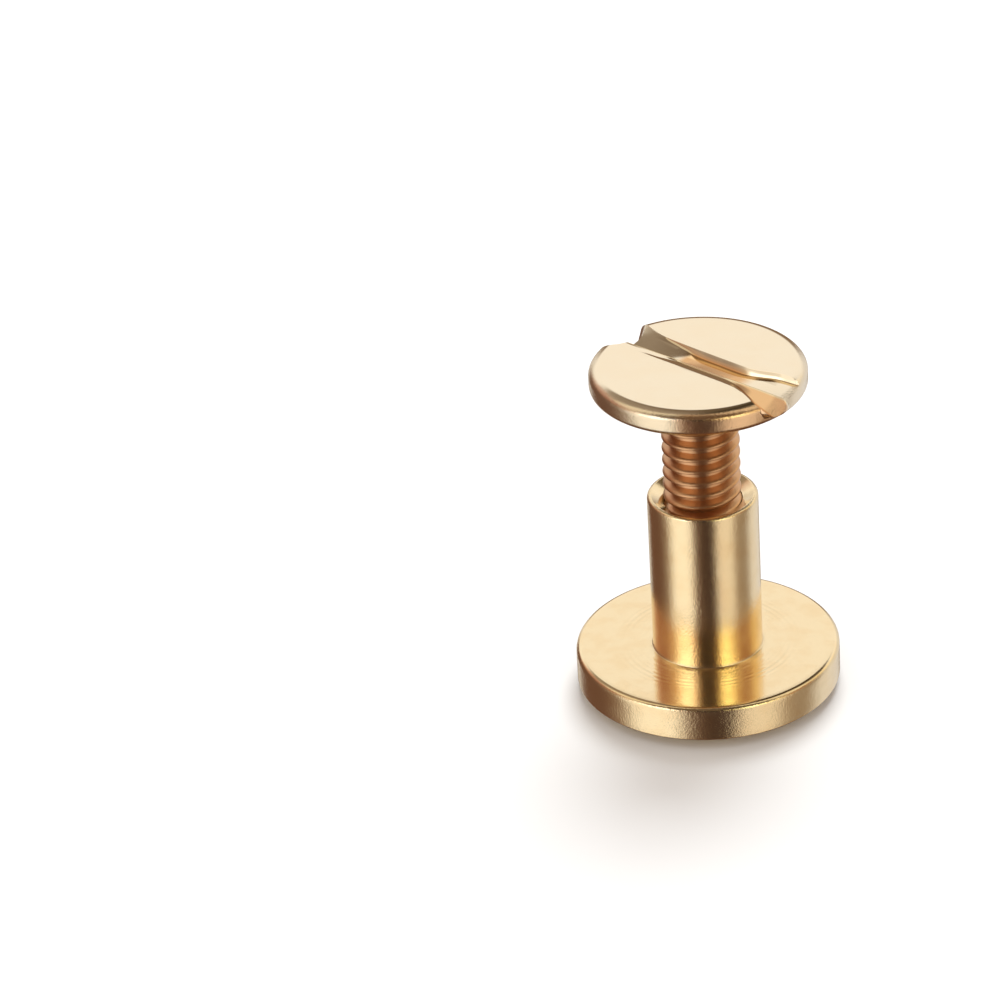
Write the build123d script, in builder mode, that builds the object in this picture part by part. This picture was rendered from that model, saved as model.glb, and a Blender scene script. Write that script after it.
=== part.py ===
"""Binding barrel screw: a round barrel with a disc head, and the slotted screw that turns into it.

Both pieces are turned from bar and plated. The barrel stands on its head, with its post up and a blind
bore down the post's middle. The screw's shank runs down that bore, and sheets of leather or paper are
gripped round the post, between the two heads. The screw is drawn partly unscrewed.

Millimetres. +Z runs up the common axis, and the origin is the centre of the barrel head's outer face.
"""
from build123d import *
from math import cos, radians, sin, tan
import os

# ---- barrel ----
barrel_head_diameter = 12.0
barrel_head_thickness = 2.1
bevel_width = 0.87              # the bevel round the outer face, measured across the face
bevel_height = 0.5              # and down the rim
barrel_rim_radius = 0.25        # soft inner edge of the head
post_diameter = 5.0
post_length = 7.7
post_root_chamfer = 0.12
post_lip_chamfer = 0.12
countersink_share = 0.57        # of the post's wall that the countersink takes at the mouth of the bore
countersink_angle = 90
drill_point_angle = 118
bore_floor_room = 0.3           # between the screw's tip and the bore's floor, fully closed

# ---- screw ----
screw_head_diameter = 9.7
screw_head_thickness = 1.1
head_roll_width = 0.6           # the rolled upper edge of the head, across the face
head_roll_height = 0.42         # and down the rim
head_under_width = 0.2          # the broken lower edge of the head, across the underside
head_under_height = 0.24        # and up the rim
slot_angle = -41.5              # of the slot from +X, about +Z
slot_offset = 0.4               # the slot is milled off the head's middle, towards its far side
slot_width = 1.15
slot_depth = 0.29               # at the slot's far wall
slot_near_depth = 0.14          # at its near wall, as the floor slopes
lip_width = 0.17                # the near wall's upper edge is rolled over by the cutter
lip_depth = 0.06

entry_radius = 1.62             # conical bite out of the rim, where the slot begins
entry_past_rim = 0.27           # its centre lies this far outside the rim
entry_side = 0.28               # and this far to the far side of the head's middle
entry_slope = 72                # of its wall, from level
facet_length = 1.85             # in from the rim, where the slot's floor has risen to its far edge
facet_turn = 1.1                # length over which it rises
facet_flare = 0.65              # how far the far edge has swung out by the rim

scoop_length = 2.15             # in from the rim, where the slot opens out at its end
scoop_start = 0.7               # length over which its far edge swings out fast
scoop_start_flare = 0.46        # how far it has swung out by then
scoop_flare = 0.8               # and by the rim
scoop_depth = 0.36              # of the floor at the rim
gouge_spread = 1.15             # how far the rolled near edge has spread by the rim
gouge_depth = 0.36              # of the hollow it turns into
ridge_depth = 0.1               # of the thin ridge left between the scoop and the hollow
ridge_swing = 0.2               # how far the ridge has moved over by the rim

burr_radius = 0.72              # the lobe of metal pushed out over the rim at the slot's end
burr_foot_radius = 0.42         # it tapers down to this
burr_height = 0.62
burr_inset = 0.35               # its centre lies this far inside the rim
burr_side = 0.42                # and this far to the near side of the head's middle

thread_diameter = 3.5           # over the crests
thread_pitch = 0.6
thread_depth = 0.32
thread_crest_width = 0.11
thread_flank_angle = 60         # between the two flanks of a groove
thread_clearance = 0.05         # radial, between the thread's crests and the bore
thread_start_angle = 0.0        # where the groove of the thread begins, about +Z
tip_chamfer = 0.35
neck_length = 0.2               # plain neck under the head
neck_root_chamfer = 0.12

shank_short = 0.45              # how much shorter the shank is than the post
turns_engaged = 3               # whole turns of thread still in the bore, as it is drawn
seat_clearance = 0.05           # between the screw head and the post's lip, fully closed
cut_past = 0.04                 # how far the thread's and the slot's cutters stand outside the metal

# ---- worked out ----
barrel_head_radius = barrel_head_diameter / 2
post_radius = post_diameter / 2
barrel_height = barrel_head_thickness + post_length
thread_radius = thread_diameter / 2
bore_radius = thread_radius + thread_clearance
countersink_radius = bore_radius + countersink_share * (post_radius - bore_radius)
screw_head_radius = screw_head_diameter / 2

shank_length = post_length - shank_short
turns_open = round((shank_length - seat_clearance) / thread_pitch) - turns_engaged   # unscrewed so far
head_under_z = barrel_height + seat_clearance + turns_open * thread_pitch
head_top_z = head_under_z + screw_head_thickness
tip_z = head_under_z - shank_length
bore_depth = shank_length - seat_clearance + bore_floor_room

# ---- barrel: head, post and bore ----
with BuildPart() as barrel:
    Cylinder(barrel_head_radius, barrel_head_thickness, align=(Align.CENTER, Align.CENTER, Align.MIN))
    outer_edge = barrel.edges().sort_by(Axis.Z)[0]
    outer_face = barrel.faces().sort_by(Axis.Z)[0]
    chamfer(outer_edge, length=bevel_width, length2=bevel_height, reference=outer_face)
    inner_edge = barrel.edges().filter_by(GeomType.CIRCLE).sort_by(Axis.Z)[-1]
    fillet(inner_edge, barrel_rim_radius)

    with BuildSketch(Plane.XY.offset(barrel_head_thickness)):
        Circle(post_radius)
    extrude(amount=post_length)
    post_root = barrel.edges().filter_by(GeomType.CIRCLE).filter_by(
        lambda e: abs(e.radius - post_radius) < 1e-6).sort_by(Axis.Z)[0]
    chamfer(post_root, post_root_chamfer)
    chamfer(barrel.edges().sort_by(Axis.Z)[-1], post_lip_chamfer)

    with Locations((0, 0, barrel_height)):
        CounterSinkHole(bore_radius, countersink_radius, bore_depth, countersink_angle)
    # the drill leaves a cone at the bore's floor
    point_height = bore_radius / tan(radians(drill_point_angle / 2))
    with Locations((0, 0, barrel_height - bore_depth)):
        Cone(0, bore_radius, point_height, align=(Align.CENTER, Align.CENTER, Align.MAX),
             mode=Mode.SUBTRACT)
barrel.part.label = "barrel"

# ---- screw: the blank is turned, then the thread is cut into its shank and the slot across its head ----
with BuildPart() as screw:
    with BuildSketch(Plane.XZ):
        with BuildLine():
            Polyline((0, head_top_z), (0, tip_z), (thread_radius - tip_chamfer, tip_z),
                     (thread_radius, tip_z + tip_chamfer), (thread_radius, head_under_z),
                     (screw_head_radius - head_under_width, head_under_z),
                     (screw_head_radius, head_under_z + head_under_height),
                     (screw_head_radius, head_top_z - head_roll_height))
            EllipticalCenterArc((screw_head_radius - head_roll_width, head_top_z - head_roll_height),
                                head_roll_width, head_roll_height, start_angle=0, arc_size=90)
            Line((screw_head_radius - head_roll_width, head_top_z), (0, head_top_z))
        make_face()
    revolve(axis=Axis.Z)
    neck_root = screw.edges().filter_by(GeomType.CIRCLE).filter_by_position(
        Axis.Z, head_under_z - 1e-4, head_under_z + 1e-4).sort_by(SortBy.RADIUS)[0]
    chamfer(neck_root, neck_root_chamfer)

    # the groove of the thread, from a turn below the tip up to the plain neck
    groove_start = tip_z - thread_pitch
    groove_height = head_under_z - neck_length - thread_pitch / 2 - groove_start
    with BuildLine(Plane.XY.offset(groove_start).rotated((0, 0, thread_start_angle))) as groove_path:
        Helix(thread_pitch, groove_height, thread_radius)
    groove_width = thread_pitch - thread_crest_width
    slope = tan(radians(thread_flank_angle / 2))
    section_plane = Plane(groove_path.line @ 0, x_dir=(cos(radians(thread_start_angle)),
                          sin(radians(thread_start_angle)), 0), z_dir=groove_path.line % 0)
    with BuildSketch(section_plane):
        with BuildLine():
            outer, root = groove_width / 2 + cut_past * slope, groove_width / 2 - thread_depth * slope
            Polyline((cut_past, -outer), (-thread_depth, -root), (-thread_depth, root), (cut_past, outer),
                     close=True)
        make_face()
    sweep(path=groove_path.line, is_frenet=True, mode=Mode.SUBTRACT)

    # the driver slot lies across the head, and the cutter has left it different at its two ends
    along = Vector(1, 0, 0).rotate(Axis.Z, slot_angle)
    across = Vector(0, 1, 0).rotate(Axis.Z, slot_angle)
    head_middle = Vector(0, 0, head_top_z)
    with Locations(head_middle + along * (screw_head_radius - burr_inset) - across * burr_side):
        Cone(burr_foot_radius, burr_radius, burr_height, align=(Align.CENTER, Align.CENTER, Align.MAX))

    half, rim = slot_width / 2, screw_head_radius
    above = head_roll_height

    def slot_station(distance, far_edge, far_depth, near_foot, near_depth, ridge, hollow, hollow_depth,
                     near_edge):
        """One cross-section of the cutter, square to the slot at a distance along it."""
        here = head_middle + across * slot_offset + along * distance
        rise = above * (hollow - near_edge) / hollow_depth
        with BuildSketch(Plane(here, x_dir=across, z_dir=along)) as section:
            with BuildLine():
                Polyline((far_edge, above), (far_edge, 0), (half, -far_depth), (near_foot, -near_depth),
                         (near_foot, -ridge), (hollow, -hollow_depth), (near_edge, 0),
                         (near_edge - rise, above), close=True)
            make_face()
        return section.sketch

    lip = (lip_depth, -half - lip_width / 2, lip_depth / 2, -half - lip_width)
    scoop_share = scoop_start / scoop_length

    def partly(start, end):
        """A size where the scoop's far edge stops swinging out so fast."""
        return start + scoop_share * (end - start)

    loft([
        slot_station(-rim - cut_past, half + facet_flare, cut_past, -half, slot_depth, *lip),
        slot_station(facet_length - rim, half + cut_past, cut_past, -half, slot_depth, *lip),
        slot_station(facet_length + facet_turn - rim, half, slot_depth, -half, slot_near_depth, *lip),
        slot_station(rim - scoop_length, half, slot_depth, -half, slot_near_depth, *lip),
        slot_station(rim - scoop_length + scoop_start, half + scoop_start_flare, slot_depth,
                     partly(-half, ridge_swing - half), partly(slot_near_depth, scoop_depth),
                     partly(lip_depth, ridge_depth), partly(-half - lip_width / 2, -half - lip_width),
                     partly(lip_depth / 2, gouge_depth), partly(-half - lip_width, -half - lip_width
                                                                - gouge_spread)),
        slot_station(rim + burr_radius, half + scoop_flare, slot_depth, ridge_swing - half, scoop_depth,
                     ridge_depth, -half - lip_width, gouge_depth, -half - lip_width - gouge_spread),
    ], ruled=True, mode=Mode.SUBTRACT)

    # the bite out of the rim where the slot begins
    entry_top = entry_radius + cut_past / tan(radians(entry_slope))
    entry_bottom = entry_radius - (screw_head_thickness + cut_past) / tan(radians(entry_slope))
    with Locations(head_middle - along * (rim + entry_past_rim) + across * entry_side
                   + Vector(0, 0, cut_past)):
        Cone(entry_bottom, entry_top, screw_head_thickness + 2 * cut_past,
             align=(Align.CENTER, Align.CENTER, Align.MAX), mode=Mode.SUBTRACT)
screw.part.label = "screw"

os.makedirs("parts", exist_ok=True)
export_step(barrel.part, "parts/barrel.step")
export_step(screw.part, "parts/screw.step")
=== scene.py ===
"""Binding barrel screw: the plated barrel and its slotted screw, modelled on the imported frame."""
from math import atan2, cos, degrees, pi, radians, sin, tan

import bmesh
import bpy
from bpy.props import FloatProperty, FloatVectorProperty, IntProperty, PointerProperty
from mathutils import Matrix, Vector


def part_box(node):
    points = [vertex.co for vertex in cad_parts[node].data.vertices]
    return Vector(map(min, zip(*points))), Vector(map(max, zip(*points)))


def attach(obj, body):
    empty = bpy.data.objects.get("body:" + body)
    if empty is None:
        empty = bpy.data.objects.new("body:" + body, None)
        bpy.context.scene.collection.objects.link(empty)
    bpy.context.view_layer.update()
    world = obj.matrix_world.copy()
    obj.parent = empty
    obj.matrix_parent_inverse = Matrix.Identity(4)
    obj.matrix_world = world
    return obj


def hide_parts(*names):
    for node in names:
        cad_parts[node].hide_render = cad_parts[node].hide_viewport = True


bl_info = {
    "name": "Binding barrel screw",
    "version": (1, 0, 0),
    "blender": (4, 5, 0),
    "location": "View3D > Sidebar > Barrel Screw",
    "description": "Models the barrel and the slotted screw of a plated binding screw",
    "category": "Add Mesh",
}

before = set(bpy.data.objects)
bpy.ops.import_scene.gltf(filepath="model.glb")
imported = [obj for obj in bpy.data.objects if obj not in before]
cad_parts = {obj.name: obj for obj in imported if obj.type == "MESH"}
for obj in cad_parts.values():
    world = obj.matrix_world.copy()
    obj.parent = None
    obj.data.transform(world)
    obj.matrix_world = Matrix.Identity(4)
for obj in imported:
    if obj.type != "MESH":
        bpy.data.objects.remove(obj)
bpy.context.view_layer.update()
MM = 0.001
GRAIN_HEIGHT = 0.0035 * MM      # of the plating's relief, for a height of 1

BARREL_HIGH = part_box("barrel")[1]
SCREW_LOW, SCREW_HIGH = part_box("screw")


# ---------------------------------------------------------------- sizes and colours

def length(name, default_mm, description):
    """A length of the model, given here in millimetres and kept in metres."""
    return FloatProperty(name=name, description=description, default=default_mm * MM, min=0.0,
                         precision=5, unit="LENGTH")


def colour(name, default, description):
    """A linear colour."""
    return FloatVectorProperty(name=name, description=description, default=default, size=3, min=0.0,
                               max=1.0, subtype="COLOR")


class BarrelSizes(bpy.types.PropertyGroup):
    head_height: length("Head height", 2.1, "Thickness of the barrel's disc head")
    bevel_width: length("Bevel width", 0.87, "Bevel round the outer face, across the face")
    bevel_height: length("Bevel height", 0.5, "Bevel round the outer face, down the rim")
    bevel_round: length("Bevel round", 0.06, "Radius of the bevel's two edges")
    rim_round: length("Rim round", 0.25, "Soft inner edge of the head")
    post_radius: length("Post radius", 2.5, "Radius of the round post")
    foot_round: length("Foot round", 0.05, "Radius where the post meets the head")
    foot_ledge: length("Foot ledge", 0.015, "Step that the turning tool leaves round the post's foot")
    lip_round: length("Lip round", 0.18, "Outer edge of the post's mouth")
    mouth_radius: length("Mouth radius", 2.29, "Radius of the countersink at the mouth")
    mouth_slope: FloatProperty(name="Mouth slope", description="Slope of the countersink, from level",
                               subtype="ANGLE", default=radians(30))
    bore_radius: length("Bore radius", 1.8, "Radius of the bore, inside its thread")
    bore_depth: length("Bore depth", 7.5, "Depth of the bore, down to the drill point")
    thread_groove: length("Thread groove", 0.17, "How deep the inner thread is cut into the bore's wall")
    groove_bottom: length("Groove bottom", 0.1, "Width of the inner thread's groove at its bottom")
    groove_crest: length("Groove crest", 0.16, "Width left between two turns of the inner thread's groove")
    groove_round: length("Groove round", 0.02, "Rounding of the inner thread's groove")
    thread_start: length("Thread start", 0.75, "Depth below the post's end at which the inner thread starts")
    ring_start: length("Ring start", 0.25, "From the post's foot to the first turning ring")
    ring_end: length("Ring end", 2.1, "From the post's wall to the last turning ring")
    ring_height: length("Ring height", 0.0035, "Height of the turning rings on the head's inner face")
    body_colour: colour("Plating", (0.905, 0.725, 0.455), "Champagne gold plating of the barrel")


class ScrewSizes(bpy.types.PropertyGroup):
    head_height: length("Head height", 1.1, "Thickness of the screw's head")
    roll_width: length("Roll width", 0.6, "Rolled upper edge of the head, across the face")
    roll_height: length("Roll height", 0.42, "Rolled upper edge of the head, down the rim")
    under_round: length("Under round", 0.3, "Radius of the head's lower edge")
    thread_radius: length("Thread radius", 1.75, "Radius over the thread's crests")
    thread_pitch: length("Thread pitch", 0.6, "Rise of the thread in one turn")
    thread_depth: length("Thread depth", 0.32, "Depth of the thread's groove")
    crest_width: length("Crest width", 0.11, "Width of the thread's crest")
    root_width: length("Root width", 0.12, "Width of the bottom of the thread's groove")
    crest_round: length("Crest round", 0.035, "Rounding of the thread's crest")
    tip_chamfer: length("Tip chamfer", 0.35, "Chamfer at the screw's tip")
    neck_height: length("Neck height", 0.2, "Plain neck under the head")
    neck_step: length("Neck step", 0.09, "How much slimmer the neck is than the thread")
    neck_round: length("Neck round", 0.12, "Radius where the neck meets the head")
    bite_radius: length("Bite radius", 1.62, "Conical bite out of the rim where the slot begins")
    bite_past_rim: length("Bite past rim", 0.50, "How far outside the rim the bite is centred")
    bite_side: length("Bite side", 0.17, "How far it lies to the far side of the head's middle")
    bite_slope: FloatProperty(name="Bite slope", description="Slope of the bite's wall, from level",
                              subtype="ANGLE", default=radians(72))
    burr_along: length("Burr along", 4.42, "From the head's middle to the burr's, along the slot")
    burr_side: length("Burr side", 0.42, "How far the burr lies to the near side of the head's middle")
    burr_drop: length("Burr drop", 0.40, "How far the burr's middle lies below the head's top")
    burr_length: length("Burr length", 0.92, "Half of the burr's length, along the slot")
    burr_width: length("Burr width", 0.86, "Half of the burr's width, across the slot")
    burr_height: length("Burr height", 0.50, "Half of the burr's height")
    slot_offset: length("Slot offset", 0.4, "How far the slot is milled off the middle")
    slot_angle: FloatProperty(name="Slot angle", description="Turn of the slot from +X", subtype="ANGLE",
                              default=radians(-41.5))
    head_colour: colour("Head plating", (0.877, 0.742, 0.545), "Pale champagne plating of the polished head")
    # painted reflection: the slot's coppery tone stands in for the light bounced between its walls
    slot_reflection_colour: colour("Slot plating", (0.70, 0.39, 0.16), "Coppery plating down in the slot")
    # painted reflection: the thread's darker, redder tone stands in for the light bounced between the gold
    # round it
    thread_reflection_colour: colour("Thread plating", (0.69, 0.405, 0.22), "Coppery plating of the thread")


class StudioSettings(bpy.types.PropertyGroup):
    lens: FloatProperty(name="Lens", description="Focal length on a 36 mm sensor", default=164.6, min=1.0,
                        subtype="DISTANCE_CAMERA")
    distance: length("Distance", 205.0, "From the camera to the middle of the post")
    aim_height: length("Aim height", 9.0, "Height of the point that the camera looks at")
    elevation: FloatProperty(name="Elevation", description="How far the camera looks down",
                             default=radians(29.7), subtype="ANGLE")
    roll: FloatProperty(name="Roll", description="Turn of the camera about its own axis",
                        default=radians(-2.1), subtype="ANGLE")
    floor_size: length("Floor size", 900.0, "Width of the square floor")
    steps: IntProperty(name="Steps", description="Divisions round a turned piece", default=224, min=32,
                       max=256)


# ---------------------------------------------------------------- modelling, by hand

def one_vertex(name):
    """A new mesh object that holds a single vertex, left in edit mode."""
    bpy.ops.object.select_all(action="DESELECT")
    bpy.ops.mesh.primitive_plane_add(size=MM, location=(0, 0, 0))
    piece = bpy.context.object
    piece.name = piece.data.name = name
    bpy.ops.object.mode_set(mode="EDIT")
    bpy.ops.mesh.merge(type="CENTER")
    return piece


def draw_profile(name, points):
    """A chain of edges through the points (radius, height), in the XZ plane, left in edit mode."""
    piece = one_vertex(name)
    r, z = points[0]
    bpy.ops.transform.translate(value=(r, 0, z))
    for (r0, z0), (r1, z1) in zip(points, points[1:]):
        bpy.ops.mesh.extrude_region_move(TRANSFORM_OT_translate={"value": (r1 - r0, 0, z1 - z0)})
    return piece


def close_skin():
    """In edit mode: merges doubles and turns every face outwards."""
    bpy.ops.mesh.select_all(action="SELECT")
    bpy.ops.mesh.remove_doubles(threshold=2e-4 * MM)
    bpy.ops.mesh.normals_make_consistent(inside=False)


def turn(name, points, steps):
    """A solid turned about +Z from a profile whose two ends lie on the axis."""
    piece = draw_profile(name, points)
    bpy.ops.mesh.select_all(action="SELECT")
    bpy.ops.mesh.spin(steps=steps, angle=2 * pi, center=(0, 0, 0), axis=(0, 0, 1))
    close_skin()
    bpy.ops.object.mode_set(mode="OBJECT")
    return piece


def arc(centre, radii, start, stop, steps):
    """Points along an arc in the profile's plane, from start to stop degrees, both ends included."""
    (r, z), (a, b) = centre, radii
    angles = [radians(start + (stop - start) * i / steps) for i in range(steps + 1)]
    return [(r + a * cos(t), z + b * sin(t)) for t in angles]


def run(start, stop, steps):
    """Points along a straight line of the profile, without its two ends."""
    return [tuple(a + (b - a) * i / steps for a, b in zip(start, stop)) for i in range(1, steps)]


def thread_form(crest, root, pitch, crest_width, root_width, rounding):
    """One pitch of a thread, (radius, height), from the middle of one root to the middle of the next."""
    middle = pitch / 2
    half = crest_width / 2
    depth = crest - root
    rise = depth - rounding
    climb = (pitch - crest_width - root_width) / 2 * (1 - rounding / depth)
    up = [(root, root_width / 2 * i / 2) for i in range(3)]
    up += [(root + rise * i / 4, root_width / 2 + climb * i / 4) for i in range(1, 5)]
    up += [(crest - rounding * (1 - sin(radians(t))), middle - half * (0.35 + 0.65 * cos(radians(t))))
           for t in (30, 60)]
    up += [(crest, middle - half * 0.3)]
    return up + [(r, pitch - z) for r, z in reversed(up)]


def helical_solid(name, form, pitch, bottom, turns, steps):
    """A closed solid whose skin is one pitch of a thread carried up its helix."""
    piece = draw_profile(name, [(r, bottom + z) for r, z in form])
    bpy.ops.object.mode_set(mode="OBJECT")
    screw = piece.modifiers.new("Helix", "SCREW")
    screw.axis = "Z"
    screw.angle = 2 * pi
    screw.screw_offset = pitch
    screw.iterations = turns
    screw.steps = screw.render_steps = steps
    screw.use_merge_vertices = False
    bpy.ops.object.modifier_apply(modifier=screw.name)
    bpy.ops.object.mode_set(mode="EDIT")
    bpy.ops.mesh.select_all(action="SELECT")
    bpy.ops.mesh.remove_doubles(threshold=2e-4 * MM)
    skin = bmesh.from_edit_mesh(piece.data)
    middle = bottom + pitch * turns / 2
    for low_end in (True, False):
        bpy.ops.mesh.select_all(action="DESELECT")
        for edge in skin.edges:
            height = (edge.verts[0].co.z + edge.verts[1].co.z) / 2
            if edge.is_boundary and (height < middle) == low_end:
                edge.select_set(True)
        bmesh.update_edit_mesh(piece.data)
        bpy.ops.mesh.edge_face_add()
        bpy.ops.mesh.poke()
        skin = bmesh.from_edit_mesh(piece.data)
    close_skin()
    bpy.ops.object.mode_set(mode="OBJECT")
    return piece


def combine(piece, tool, operation):
    """Cuts, joins or trims the piece with the tool, and uses the tool up."""
    bpy.ops.object.select_all(action="DESELECT")
    bpy.context.view_layer.objects.active = piece
    piece.select_set(True)
    boolean = piece.modifiers.new("Combine", "BOOLEAN")
    boolean.operation = operation
    boolean.solver = "EXACT"
    boolean.object = tool
    bpy.ops.object.modifier_apply(modifier=boolean.name)
    bpy.data.objects.remove(tool)
    if not piece.data.polygons:
        raise RuntimeError(f"{piece.name} came out empty")


def loft(name, sections):
    """A closed solid through sections of equally many points, each a list of (x, y, z)."""
    bpy.ops.object.select_all(action="DESELECT")
    bpy.ops.mesh.primitive_circle_add(vertices=len(sections[0]), radius=MM, fill_type="NGON")
    piece = bpy.context.object
    piece.name = piece.data.name = name
    for vertex, place in zip(piece.data.vertices, sections[0]):
        vertex.co = place
    bpy.ops.object.mode_set(mode="EDIT")
    bpy.ops.mesh.select_all(action="SELECT")
    for last, section in zip(sections, sections[1:]):
        bpy.ops.mesh.extrude_region_move()
        skin = bmesh.from_edit_mesh(piece.data)
        for vertex in [v for v in skin.verts if v.select]:
            nearest = min(range(len(last)), key=lambda i: (vertex.co - Vector(last[i])).length_squared)
            vertex.co = section[nearest]
        bmesh.update_edit_mesh(piece.data)
    close_skin()
    bpy.ops.object.mode_set(mode="OBJECT")
    return piece


def smooth(piece, angle):
    """Shades the piece smooth, with creases where faces meet at more than the angle in degrees."""
    bpy.ops.object.select_all(action="DESELECT")
    bpy.context.view_layer.objects.active = piece
    piece.select_set(True)
    bpy.ops.object.shade_smooth_by_angle(angle=radians(angle))


# ---------------------------------------------------------------- materials

class Value:
    """A socket of a node tree that can be used in sums, as in 1 - mask * 0.5."""

    def __init__(self, finish, socket):
        self.finish = finish
        self.socket = socket

    def maths(self, operation, *others):
        return self.finish.node("ShaderNodeMath", {"operation": operation}, [self, *others])

    def __add__(self, other):
        return self.maths("ADD", other)

    def __sub__(self, other):
        return self.maths("SUBTRACT", other)

    def __mul__(self, other):
        return self.maths("MULTIPLY", other)

    def __rsub__(self, other):
        return self.finish.node("ShaderNodeMath", {"operation": "SUBTRACT"}, [other, self])

    def __neg__(self):
        return self * -1.0

    __radd__ = __add__
    __rmul__ = __mul__

    def power(self, other):
        return self.maths("POWER", other)

    def sine(self):
        return self.maths("SINE")

    def at_least(self, other):
        return self.maths("MAXIMUM", other)

    def between(self, low, high):
        """0 at low, 1 at high, and smooth in between."""
        return self.finish.node("ShaderNodeMapRange", {"interpolation_type": "SMOOTHSTEP"},
                                {"Value": self, "From Min": low, "From Max": high})


class Finish:
    """Builds the nodes of one material or world."""

    def __init__(self, owner):
        owner.use_nodes = True
        self.tree = owner.node_tree
        self.tree.nodes.clear()

    def node(self, kind, settings=None, inputs=(), output=0):
        """Adds a node: its settings come first, then a value or a link for each named or numbered socket."""
        node = self.tree.nodes.new(kind)
        for name, value in (settings or {}).items():
            if name == "stops":
                self.set_stops(node.color_ramp, value)
            else:
                setattr(node, name, value)
        for key, value in inputs.items() if isinstance(inputs, dict) else enumerate(inputs):
            socket = node.inputs[key]
            if isinstance(value, Value):
                self.tree.links.new(value.socket, socket)
            else:
                socket.default_value = value
        return Value(self, node.outputs[output]) if node.outputs else None

    @staticmethod
    def set_stops(ramp, stops):
        while len(ramp.elements) < len(stops):
            ramp.elements.new(1.0)
        for element, (position, shade) in zip(ramp.elements, stops):
            element.position = position
            element.color = (*shade, 1.0)

    def mix(self, factor, first, second):
        """A colour between first and second. The node's colour sockets can be told apart by number only."""
        first, second = (c if isinstance(c, Value) else (*c, 1.0) for c in (first, second))
        return self.node("ShaderNodeMix", {"data_type": "RGBA"}, {0: factor, 6: first, 7: second}, output=2)

    def position(self):
        """Object coordinates in millimetres."""
        place = self.node("ShaderNodeTexCoord", output="Object")
        return self.node("ShaderNodeMapping", inputs={"Vector": place, "Scale": (1 / MM,) * 3})

    def part(self, vector, axis):
        return self.node("ShaderNodeSeparateXYZ", inputs=[vector], output=axis)

    def noise(self, vector, scale, detail=2.0, roughness=0.5):
        return self.node("ShaderNodeTexNoise", inputs={"Vector": vector, "Scale": scale, "Detail": detail,
                                                       "Roughness": roughness})

    def spots(self, vector, scale):
        """Distance to the nearest of scattered points."""
        return self.node("ShaderNodeTexVoronoi", inputs={"Vector": vector, "Scale": scale})

    def output(self, shader, kind="ShaderNodeOutputMaterial"):
        self.node(kind, inputs={0: shader})


def plate(piece, material):
    """Gives the piece its material."""
    piece.data.materials.clear()
    piece.data.materials.append(material)


def tinted(shade, factors):
    """The colour with each of its parts scaled."""
    return tuple(part * factor for part, factor in zip(shade, factors))


def metal(make, shade, rough, height):
    """Ends the material in polished metal, with the relief given in units of GRAIN_HEIGHT."""
    bump = make.node("ShaderNodeBump", inputs={"Strength": 1.0, "Distance": GRAIN_HEIGHT, "Height": height})
    make.output(make.node("ShaderNodeBsdfPrincipled", inputs={
        "Base Color": shade, "Metallic": 1.0, "Roughness": rough, "Normal": bump}))


def barrel_plating(sizes):
    """Champagne plating: satin on the post and rim, brighter on the two flat faces."""
    material = bpy.data.materials.new("barrel_plating")
    make = Finish(material)
    place = make.position()
    x, y, z = (make.part(place, axis) for axis in range(3))
    radius = (x * x + y * y).power(0.5)
    post, rim, bottom = sizes.post_radius / MM, BARREL_HIGH.x / MM, sizes.head_height / MM

    cloud = make.noise(place, 1.1, 3.0)
    grain = make.noise(place, 11.0, 3.0, 0.62)
    waves = make.noise(place, 2.6, 2.0)
    pits = make.spots(place, 5.2)

    # where the plating is satin, and where the tool's rings show
    on_post = radius.between(post - 0.22, post - 0.12) * radius.between(post + 0.25, post + 0.02)
    on_post = on_post * z.between(bottom - 0.1, bottom + 0.1)
    on_rim = radius.between(rim - 0.16, rim - 0.04)
    satin = on_post.at_least(on_rim)
    turned = (1 - satin) * z.between(bottom - 0.5, bottom - 0.05)
    rings = (radius * 19.0 + make.noise(place, 0.6) * 2.5).sine() * radius.between(5.2, post + 0.6)

    plain = tuple(sizes.body_colour)
    shade = make.mix(cloud.between(0.38, 0.72) * 0.6, plain, tinted(plain, (0.96, 0.9, 0.82)))
    rough = 0.12 + satin * 0.08 + turned * 0.01 + (grain - 0.5) * 0.08
    height = (grain - 0.5) * (0.3 + satin * 2.6) + (waves - 0.5) * satin * 1.6
    height = height + (0.09 - pits).at_least(0.0) * 5.0 + rings * turned * 0.25
    metal(make, shade, rough, height)
    return material


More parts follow.
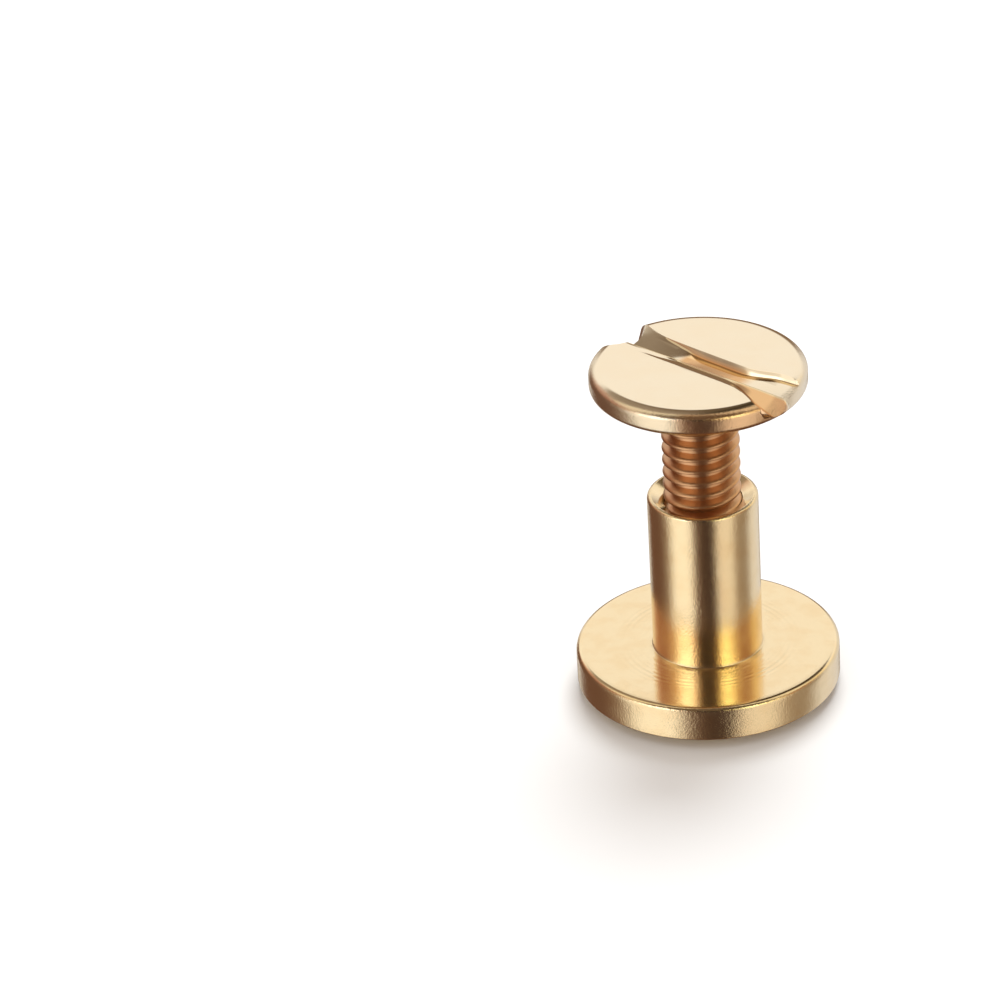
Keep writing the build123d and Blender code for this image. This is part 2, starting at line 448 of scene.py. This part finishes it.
def screw_plating(sizes):
    """Pale polish on the head and a sparkling rim; the coppery tone down in the slot and on the thread is
    painted reflection, and the slot's far wall has painted shade.
    """
    material = bpy.data.materials.new("screw_plating")
    make = Finish(material)
    place = make.position()
    x, y, z = (make.part(place, axis) for axis in range(3))
    radius = (x * x + y * y).power(0.5)
    top, rim = SCREW_HIGH.z / MM, SCREW_HIGH.x / MM
    under = top - sizes.head_height / MM

    cloud = make.noise(place, 0.9, 2.0)
    grain = make.noise(place, 13.0, 3.0, 0.6)
    waves = make.noise(place, 3.0, 2.0)
    pits = make.spots(place, 3.4)
    on_thread = z.between(under + 0.1, under - 0.1) * radius.between(2.2, 1.9)
    on_rim = (1 - on_thread) * radius.between(rim - 0.45, rim - 0.1)

    # the slot's floor, its far wall and the spout at its end, found along and across the slot, for the
    # painted reflection and shade in the cut
    angle = sizes.slot_angle
    across = y * cos(angle) - x * sin(angle) - sizes.slot_offset / MM
    along = x * cos(angle) + y * sin(angle)
    on_floor = z.between(top - 0.08, top - 0.14) * across.between(-0.61, -0.57) * across.between(0.50, 0.42)
    slot_painted_reflection = on_floor * along.between(-1.4, -0.9) * along.between(2.9, 2.1)
    by_wall_reflection = across.between(0.02, 0.18)
    # painted shade: the upper band of the slot's far wall is darkened, short of its two ends
    wall_painted_shade = z.between(top - 0.01, top - 0.04) * across.between(0.40, 0.46) * along.between(-3.4, -2.6)
    wall_painted_shade = wall_painted_shade * along.between(4.2, 3.0) * radius.between(rim - 0.9, rim - 1.1)
    spout_painted_reflection = z.between(top - 0.05, top - 0.10) * across.between(-0.61, -0.66) * along.between(2.0, 2.8)

    head, slot, thread_reflection_tone = (tuple(c) for c in (sizes.head_colour, sizes.slot_reflection_colour, sizes.thread_reflection_colour))
    shade = make.mix(cloud.between(0.3, 0.7) * 0.35, head, tinted(head, (0.99, 0.95, 0.9)))
    # painted shade on the slot's far wall
    shade = make.mix(wall_painted_shade, shade, tinted(head, (0.76, 0.72, 0.68)))
    # painted reflection: the slot's floor is coppery, paler towards the far wall, for the light bounced
    # between its walls
    shade = make.mix(slot_painted_reflection, shade, make.mix(by_wall_reflection, slot, tinted(slot, (1.35, 1.6, 1.9))))
    # painted reflection: a paler peach in the hollow beside the spout
    shade = make.mix(spout_painted_reflection, shade, tinted(slot, (1.25, 1.5, 2.2)))
    # painted reflection: the thread's darker, redder tone
    shade = make.mix(on_thread, shade, thread_reflection_tone)
    rough = 0.09 + on_rim * 0.15 + on_thread * 0.22 + (grain - 0.5) * 0.08
    height = (grain - 0.5) * (0.10 + on_rim * 2.6 + on_thread * 1.8)
    height = height + (waves - 0.5) * (on_rim + on_thread) * 2.0 + (0.05 - pits).at_least(0.0) * 6.0
    metal(make, shade, rough, height)
    return material


# ---------------------------------------------------------------- the barrel and the screw

class BarrelMaker(bpy.types.Operator):
    """Turns the barrel: bevelled disc head, round post, and a bore with its thread"""
    bl_idname = "barrel_screw.make_barrel"
    bl_label = "Barrel"

    def execute(self, context):
        size = context.scene.barrel_sizes
        screw = context.scene.screw_sizes
        steps = context.scene.studio_settings.steps
        rim, top = BARREL_HIGH.x, BARREL_HIGH.z
        head, post = size.head_height, size.post_radius
        round_, soft, foot, lip = size.bevel_round, size.rim_round, size.foot_round, size.lip_round
        ledge = size.foot_ledge

        # outer face, bevel and rim
        slope = degrees(atan2(size.bevel_height, size.bevel_width))
        reach = round_ * tan(radians(slope / 2))
        face_end, rim_start = rim - size.bevel_width, size.bevel_height
        reach_rim = round_ * tan(radians((90 - slope) / 2))
        profile = [(0, 0)] + run((0, 0), (face_end - reach, 0), 6)
        profile += arc((face_end - reach, round_), (round_, round_), -90, -90 + slope, 4)
        profile += arc((rim - round_, rim_start + reach_rim), (round_, round_), -90 + slope, 0, 5)
        profile += run(profile[-1], (rim, head - soft), 5)
        profile += arc((rim - soft, head - soft), (soft, soft), 0, 90, 9)
        # inner face, with the rings that the tool left near the post
        ring_start, ring_end = post + ledge + foot + size.ring_start, post + size.ring_end
        profile += run(profile[-1], (ring_end, head), 5)
        rings = 42
        for i in range(rings + 1):
            r = ring_end + (ring_start - ring_end) * i / rings
            fade = sin(pi * i / rings)
            profile.append((r, head - size.ring_height * fade * (0.5 + 0.5 * cos(i * pi / 3))))
        # foot of the post, with its small ledge
        profile += arc((post + ledge + foot, head + foot), (foot, foot), -90, -180, 6)
        profile += arc((post + ledge * 0.2, head + foot + 0.035 * MM), (ledge * 0.8, ledge), 0, 90, 3)
        profile += [(post, head + foot + 0.09 * MM)]
        profile += run(profile[-1], (post, top - lip), 10)
        profile += arc((post - lip, top - lip), (lip, lip), 0, 90, 7)
        # mouth, bore and drill point
        mouth, bore = size.mouth_radius, size.bore_radius
        edge = 0.02 * MM
        sunk = top - (mouth - bore) * tan(size.mouth_slope)
        profile += arc((mouth + edge, top - edge), (edge, edge), 90, 90 + degrees(size.mouth_slope), 3)
        profile += run(profile[-1], (bore, sunk), 3)
        floor = top - size.bore_depth
        profile += [(bore, sunk)] + run((bore, sunk), (bore, floor), 8)
        profile += [(bore, floor), (bore * 0.5, floor - 0.3 * bore), (0, floor - 0.6 * bore)]
        barrel = turn("barrel_turned", profile, steps)

        # inner thread, cut outwards from the bore
        pitch = screw.thread_pitch
        form = thread_form(bore + size.thread_groove, bore - 0.2 * MM, pitch, size.groove_bottom,
                           size.groove_crest, size.groove_round)
        turns = int((size.bore_depth - 1.0 * MM) / pitch)
        tap = helical_solid("tap", form, pitch, top - size.thread_start - turns * pitch, turns, 128)
        combine(barrel, tap, "DIFFERENCE")
        smooth(barrel, 32)
        plate(barrel, barrel_plating(size))
        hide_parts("barrel")
        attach(barrel, "barrel")
        return {"FINISHED"}


# The slot at stations along it, from the back-left rim to the front-right rim, in mm from its own middle
# line: (along, far edge, far foot, depth there, near foot, depth there, depth of the ridge, hollow beside
# the ridge, depth there, near edge). A depth below 0 stands clear over the head.
SLOT_STATIONS = (
    (-5.6, 1.65, 1.60, 0.02, -0.80, 0.46, 0.010, -1.00, -0.015, -1.08),
    (-4.0, 0.95, 0.92, 0.02, -0.74, 0.39, 0.012, -0.98, -0.015, -1.10),
    (-3.1, 0.69, 0.60, 0.035, -0.70, 0.37, 0.015, -1.02, -0.005, -1.12),
    (-2.5, 0.62, 0.51, 0.09, -0.67, 0.36, 0.025, -1.00, 0.018, -1.13),
    (-1.9, 0.60, 0.47, 0.145, -0.64, 0.35, 0.035, -0.94, 0.042, -1.13),
    (-1.4, 0.59, 0.45, 0.19, -0.61, 0.315, 0.045, -0.80, 0.072, -1.13),
    (-0.9, 0.585, 0.43, 0.25, -0.585, 0.26, 0.060, -0.66, 0.100, -1.13),
    (-0.4, 0.585, 0.43, 0.28, -0.575, 0.205, 0.070, -0.64, 0.110, -1.13),
    (0.5, 0.585, 0.43, 0.29, -0.575, 0.17, 0.072, -0.64, 0.112, -1.13),
    (1.8, 0.595, 0.43, 0.29, -0.575, 0.18, 0.070, -0.65, 0.115, -1.13),
    (2.3, 0.64, 0.50, 0.28, -0.575, 0.22, 0.060, -0.70, 0.13, -1.13),
    (2.8, 0.80, 0.68, 0.27, -0.575, 0.27, 0.050, -0.80, 0.17, -1.16),
    (3.4, 1.02, 0.91, 0.26, -0.57, 0.31, 0.045, -0.98, 0.29, -1.32),
    (4.2, 1.13, 1.02, 0.26, -0.56, 0.34, 0.045, -1.12, 0.50, -1.70),
    (5.6, 1.30, 1.18, 0.27, -0.55, 0.38, 0.050, -1.25, 0.86, -2.60),
)

SLOT_REACH = 5.5        # of the cutter to both sides of the head's middle, in mm, as are the next three
FIN_WIDTH = 0.03        # of the thin ridge between the floor and the hollow
EDGE = 0.012            # half of the height over which the cutter's sides pass the head's top
CLEAR = 0.6             # height of the cutter over the head


def along_stations(place):
    """The slot's measures at a place along it, curved smoothly from one station to the next."""
    for i, (low, high) in enumerate(zip(SLOT_STATIONS, SLOT_STATIONS[1:])):
        if place <= high[0]:
            break
    before = SLOT_STATIONS[max(i - 1, 0)]
    after = SLOT_STATIONS[min(i + 2, len(SLOT_STATIONS) - 1)]
    t = (place - low[0]) / (high[0] - low[0])
    found = []
    for a, b, c, d, s in zip(before, low, high, after, range(len(low))):
        slope_b = (c - a) / (high[0] - before[0]) * (high[0] - low[0])
        slope_c = (d - b) / (after[0] - low[0]) * (high[0] - low[0])
        found.append((2 * t ** 3 - 3 * t ** 2 + 1) * b + (t ** 3 - 2 * t ** 2 + t) * slope_b
                     + (3 * t ** 2 - 2 * t ** 3) * c + (t ** 3 - t ** 2) * slope_c)
    return found[1:]


def slot_section(place):
    """The cutter's outline across the slot at a place along it, in mm: (across, height over the head).

    None of its points lies level with the head's top, where the cut would come out ragged.
    """
    far, far_foot, far_depth, foot, depth, ridge, hollow, hollow_depth, near = along_stations(place)
    crest = foot - FIN_WIDTH
    wall = far - far_foot
    # the near edge rolls over, down into the hollow, and up again to the thin ridge
    outline = [(near - 0.05, CLEAR), (near - 0.04, EDGE)]
    for t in (0.15, 0.3, 0.45, 0.6, 0.75, 0.9):
        outline.append((near + (hollow - near) * t, -hollow_depth * t))
    outline += [(hollow, -hollow_depth), ((hollow + crest) * 0.5, -(hollow_depth + ridge) * 0.52),
                (crest - EDGE, -ridge - EDGE), (crest, -ridge),
                (crest + FIN_WIDTH * 0.6, -ridge - 0.004), (foot, -ridge - 0.02)]
    # near wall, floor and far wall
    floor = foot + 0.03
    outline += [(foot + 0.006, -depth + 0.02), (floor, -depth)]
    for t in (0.2, 0.4, 0.6, 0.8):
        outline.append((floor + (far_foot - floor) * t, -depth + (depth - far_depth) * t))
    outline += [(far_foot, -far_depth), (far_foot + wall * 0.3, -far_depth * 0.78),
                (far_foot + wall * 0.62, -far_depth * 0.5), (far - 0.006, -EDGE),
                (far + 0.004, EDGE), (far + 0.02, CLEAR)]
    return outline


def slot_cutter(size, top):
    """The solid that the slot's cutter sweeps across the head."""
    turn_slot = Matrix.Rotation(size.slot_angle, 4, "Z")
    count = 84
    sections = []
    for k in range(count + 1):
        place = SLOT_REACH * (2 * k / count - 1)
        sections.append([tuple(turn_slot @ Vector((place * MM, u * MM + size.slot_offset, top + z * MM)))
                         for u, z in slot_section(place)])
    return loft("slot_cutter", sections)


def burr(size, top):
    """The lobe of metal thrown out where the slot's cutter left the head."""
    bpy.ops.object.select_all(action="DESELECT")
    bpy.ops.mesh.primitive_uv_sphere_add(segments=64, ring_count=40, radius=1.0)
    lobe = bpy.context.object
    lobe.matrix_world = (Matrix.Rotation(size.slot_angle, 4, "Z")
                         @ Matrix.Translation((size.burr_along, -size.burr_side, top - size.burr_drop))
                         @ Matrix.Diagonal((size.burr_length, size.burr_width, size.burr_height, 1.0)))
    bpy.ops.object.transform_apply()
    return lobe


def bite_cutter(size, rim, top, height):
    """The cone that bites the rim away where the slot begins."""
    bpy.ops.object.select_all(action="DESELECT")
    slope = tan(size.bite_slope)
    over = 0.05 * MM
    bpy.ops.mesh.primitive_cone_add(vertices=160, radius1=size.bite_radius - (height + over) / slope,
                                    radius2=size.bite_radius + over / slope, depth=height + 2 * over)
    cone = bpy.context.object
    place = Matrix.Translation((-rim - size.bite_past_rim, size.bite_side, top - height / 2))
    cone.matrix_world = Matrix.Rotation(size.slot_angle, 4, "Z") @ place
    bpy.ops.object.transform_apply()
    return cone


class ScrewMaker(bpy.types.Operator):
    """Makes the screw: rolled head with its slot and burr, and the threaded shank"""
    bl_idname = "barrel_screw.make_screw"
    bl_label = "Screw"

    def execute(self, context):
        size = context.scene.screw_sizes
        rim, top, tip = SCREW_HIGH.x, SCREW_HIGH.z, SCREW_LOW.z
        under = top - size.head_height
        screw = self.shank(size, tip, under)
        combine(screw, self.head(size, rim, top, under, context.scene.studio_settings.steps), "UNION")
        combine(screw, burr(size, top), "UNION")
        combine(screw, slot_cutter(size, top), "DIFFERENCE")
        combine(screw, bite_cutter(size, rim, top, size.head_height), "DIFFERENCE")
        smooth(screw, 30)
        plate(screw, screw_plating(size))
        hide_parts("screw")
        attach(screw, "screw")
        return {"FINISHED"}

    def shank(self, size, tip, under):
        """A thread that is longer than the shank, trimmed to a blank with a chamfered tip."""
        radius, pitch = size.thread_radius, size.thread_pitch
        form = thread_form(radius, radius - size.thread_depth, pitch, size.crest_width, size.root_width,
                           size.crest_round)
        turns = int((under - tip) / pitch) + 4
        shank = helical_solid("screw_turned", form, pitch, tip - 2 * pitch, turns, 144)
        blank = radius + 0.02 * MM
        inside = under + 0.3 * MM
        trim = turn("trim", [(0, tip), (blank - size.tip_chamfer, tip), (blank, tip + size.tip_chamfer),
                             (blank, inside), (0, inside)], 96)
        combine(shank, trim, "INTERSECT")
        return shank

    def head(self, size, rim, top, under, steps):
        """The head with its rolled edge, its underside and the plain neck below."""
        core, core_end = 1.2 * MM, under + 0.1 * MM
        neck = size.thread_radius - size.neck_step
        round_, soft = size.neck_round, size.under_round
        a, b = size.roll_width, size.roll_height
        profile = [(0, core_end), (core, core_end), (core, under - size.neck_height)]
        profile += [(neck, under - size.neck_height)]
        profile += arc((neck + round_, under - round_), (round_, round_), 180, 90, 5)
        profile += run(profile[-1], (rim - soft, under), 8)
        profile += arc((rim - soft, under + soft), (soft, soft), -90, 0, 9)
        profile += run(profile[-1], (rim, top - b), 2)
        profile += arc((rim - a, top - b), (a, b), 0, 90, 26)
        profile += run(profile[-1], (0, top), 12) + [(0, top)]
        return turn("head", profile, steps)


# ---------------------------------------------------------------- studio

# The studio's cards by bearing, from behind the screw round by the left, the front and the right: those
# that stand on the floor, those above them, and the gaps higher up that the light boxes leave
LOW_CARDS = ((-180, (0.25, 0.165, 0.10)), (-168, (0.25, 0.165, 0.10)), (-163, (0.85, 0.83, 0.80)),
             (-155, (0.80, 0.76, 0.70)), (-148, (0.17, 0.09, 0.06)), (-106, (0.15, 0.08, 0.055)),
             (-90, (0.25, 0.17, 0.13)), (-79, (0.40, 0.32, 0.26)), (-70, (1.15, 1.12, 1.06)),
             (-30, (1.22, 1.19, 1.13)), (-20, (0.24, 0.15, 0.11)), (-10, (0.09, 0.055, 0.042)),
             (8, (0.055, 0.033, 0.024)), (20, (0.07, 0.042, 0.034)), (28, (0.95, 0.86, 0.75)),
             (58, (0.95, 0.87, 0.76)), (70, (0.36, 0.28, 0.21)), (98, (0.34, 0.28, 0.22)),
             (112, (0.85, 0.84, 0.85)), (158, (0.82, 0.82, 0.83)), (167, (0.25, 0.165, 0.10)),
             (180, (0.25, 0.165, 0.10)))
HIGH_CARDS = ((-180, (1.08, 1.07, 1.05)), (-150, (1.09, 1.08, 1.06)), (-137, (0.66, 0.42, 0.34)),
              (-115, (0.40, 0.20, 0.15)), (-92, (0.40, 0.20, 0.15)), (-72, (0.85, 0.66, 0.48)),
              (-57, (2.35, 2.45, 2.45)), (-32, (2.35, 2.45, 2.50)), (-27, (1.20, 0.65, 0.28)),
              (-24, (0.05, 0.015, 0.006)), (-18, (0.006, 0.002, 0.001)), (14, (0.006, 0.002, 0.001)),
              (20, (0.05, 0.013, 0.005)), (24, (1.10, 0.58, 0.22)), (28, (2.25, 2.40, 1.55)),
              (44, (2.20, 2.25, 1.40)), (62, (0.80, 0.60, 0.35)), (76, (0.38, 0.19, 0.10)),
              (92, (0.38, 0.19, 0.10)), (115, (1.05, 0.90, 0.55)), (145, (1.09, 1.08, 1.06)),
              (180, (1.08, 1.07, 1.05)))
GAPS = ((-180, (0.20, 0.15, 0.11)), (-160, (0.33, 0.275, 0.22)), (-126, (0.34, 0.28, 0.22)),
        (-112, (0.95, 0.86, 0.68)), (-84, (0.95, 0.86, 0.68)), (-68, (0.20, 0.15, 0.10)),
        (-25, (0.13, 0.09, 0.06)), (64, (0.09, 0.06, 0.035)), (80, (0.95, 0.88, 0.70)),
        (112, (0.95, 0.88, 0.70)), (128, (0.16, 0.12, 0.08)), (160, (0.045, 0.032, 0.018)),
        (180, (0.16, 0.12, 0.08)))

# how steeply a direction rises where one row of cards ends and the next begins
HIGH_CARDS_START = (0.20, 0.36)
GAPS_START = (0.565, 0.635)
UNDER_START = (-0.66, -0.80)
UNDER_COLOUR = (0.13, 0.07, 0.045)
DULL_LIGHT = (0.87, 0.80, 0.745)        # what the studio sends to anything that isn't polished


def round_about(make, right, front, cards):
    """The colour of a row of cards in a level direction."""
    bearing = make.node("ShaderNodeMath", {"operation": "ARCTAN2"}, [right, front]) * (0.5 / pi) + 0.5
    stops = [(angle / 360 + 0.5, shade) for angle, shade in cards]
    return make.node("ShaderNodeValToRGB", {"stops": stops}, [bearing])


def seen_by(make, kind):
    """1 for a ray of the kind, such as Camera, and 0 for others."""
    return make.node("ShaderNodeLightPath", output=f"Is {kind} Ray")


class StageMaker(bpy.types.Operator):
    """Sets the pale floor, the soft light round the screw and the camera"""
    bl_idname = "barrel_screw.make_stage"
    bl_label = "Stage"

    def execute(self, context):
        settings = context.scene.studio_settings
        bpy.ops.object.select_all(action="DESELECT")
        bpy.ops.mesh.primitive_plane_add(size=settings.floor_size, location=(0, 0, -0.01 * MM))
        floor = context.object
        floor.name = "floor"
        bpy.ops.object.transform_apply()
        floor.data.materials.append(self.floor_material())
        floor.visible_glossy = False
        self.world(context.scene)
        self.lamps()
        self.camera(context.scene, settings)
        context.scene.view_settings.view_transform = "Standard"
        return {"FINISHED"}

    def floor_material(self):
        """Plain white, for the screw's shadow."""
        material = bpy.data.materials.new("pale_floor")
        make = Finish(material)
        make.output(make.node("ShaderNodeBsdfDiffuse", inputs={"Color": (0.8, 0.8, 0.8, 1.0)}))
        return material

    def world(self, scene):
        """A white backdrop, and the cards that the plating mirrors."""
        world = bpy.data.worlds.new("studio")
        scene.world = world
        make = Finish(world)
        direction = make.node("ShaderNodeTexCoord", output="Generated")
        x, y, z = (make.part(direction, axis) for axis in range(3))
        low, high, gap = (round_about(make, x, -y, cards) for cards in (LOW_CARDS, HIGH_CARDS, GAPS))
        cards = make.mix(z.between(*HIGH_CARDS_START), low, high)
        cards = make.mix(z.between(*GAPS_START), cards, gap)
        cards = make.mix(z.between(*UNDER_START), cards, UNDER_COLOUR)
        backdrop = seen_by(make, "Camera").at_least(seen_by(make, "Transmission"))
        shade = make.mix(seen_by(make, "Glossy"), DULL_LIGHT, cards)
        shade = make.mix(backdrop, shade, (1.0, 1.0, 1.0))
        background = make.node("ShaderNodeBackground", inputs={"Color": shade, "Strength": 1.0})
        make.output(background, "ShaderNodeOutputWorld")

    def lamps(self):
        """One broad soft light from above and behind, which the plating doesn't mirror."""
        lamp = bpy.data.lights.new("overhead", "SUN")
        lamp.energy = 2.55
        lamp.angle = radians(34)
        lamp.color = (0.92, 0.97, 1.0)
        light = bpy.data.objects.new("overhead", lamp)
        light.rotation_euler = (radians(-32), radians(8), 0)
        light.visible_glossy = False
        bpy.context.scene.collection.objects.link(light)

    def camera(self, scene, settings):
        """Looks down on the screw from the front, from far off."""
        camera = bpy.data.cameras.new("camera")
        camera.lens = settings.lens
        camera.sensor_width = 36.0
        camera.shift_x, camera.shift_y = -0.2030, 0.008
        camera.clip_start, camera.clip_end = 0.01, 10.0
        view = bpy.data.objects.new("camera", camera)
        scene.collection.objects.link(view)
        look = Matrix.Rotation(pi / 2 - settings.elevation, 4, "X")
        aim = Matrix.Translation((0, 0, settings.aim_height))
        view.matrix_world = (aim @ look @ Matrix.Rotation(settings.roll, 4, "Z")
                             @ Matrix.Translation((0, 0, settings.distance)))
        scene.camera = view


class ScrewPanel(bpy.types.Panel):
    """Lists the pieces of the binding screw"""
    bl_idname = "VIEW3D_PT_barrel_screw"
    bl_label = "Binding Barrel Screw"
    bl_space_type = "VIEW_3D"
    bl_region_type = "UI"
    bl_category = "Barrel Screw"

    def draw(self, context):
        for maker in MAKERS:
            self.layout.operator(maker.bl_idname)
        for group in ("barrel_sizes", "screw_sizes", "studio_settings"):
            box = self.layout.box()
            settings = getattr(context.scene, group)
            for name in settings.bl_rna.properties.keys():
                if name not in ("rna_type", "name"):
                    box.prop(settings, name)


MAKERS = (BarrelMaker, ScrewMaker, StageMaker)
CLASSES = (BarrelSizes, ScrewSizes, StudioSettings, *MAKERS, ScrewPanel)


def register():
    for cls in CLASSES:
        bpy.utils.register_class(cls)
    bpy.types.Scene.barrel_sizes = PointerProperty(type=BarrelSizes)
    bpy.types.Scene.screw_sizes = PointerProperty(type=ScrewSizes)
    bpy.types.Scene.studio_settings = PointerProperty(type=StudioSettings)


def unregister():
    for group in ("barrel_sizes", "screw_sizes", "studio_settings"):
        delattr(bpy.types.Scene, group)
    for cls in reversed(CLASSES):
        bpy.utils.unregister_class(cls)


def main():
    register()
    bpy.ops.barrel_screw.make_stage()
    bpy.ops.barrel_screw.make_barrel()
    bpy.ops.barrel_screw.make_screw()


if __name__ == "__main__":
    main()
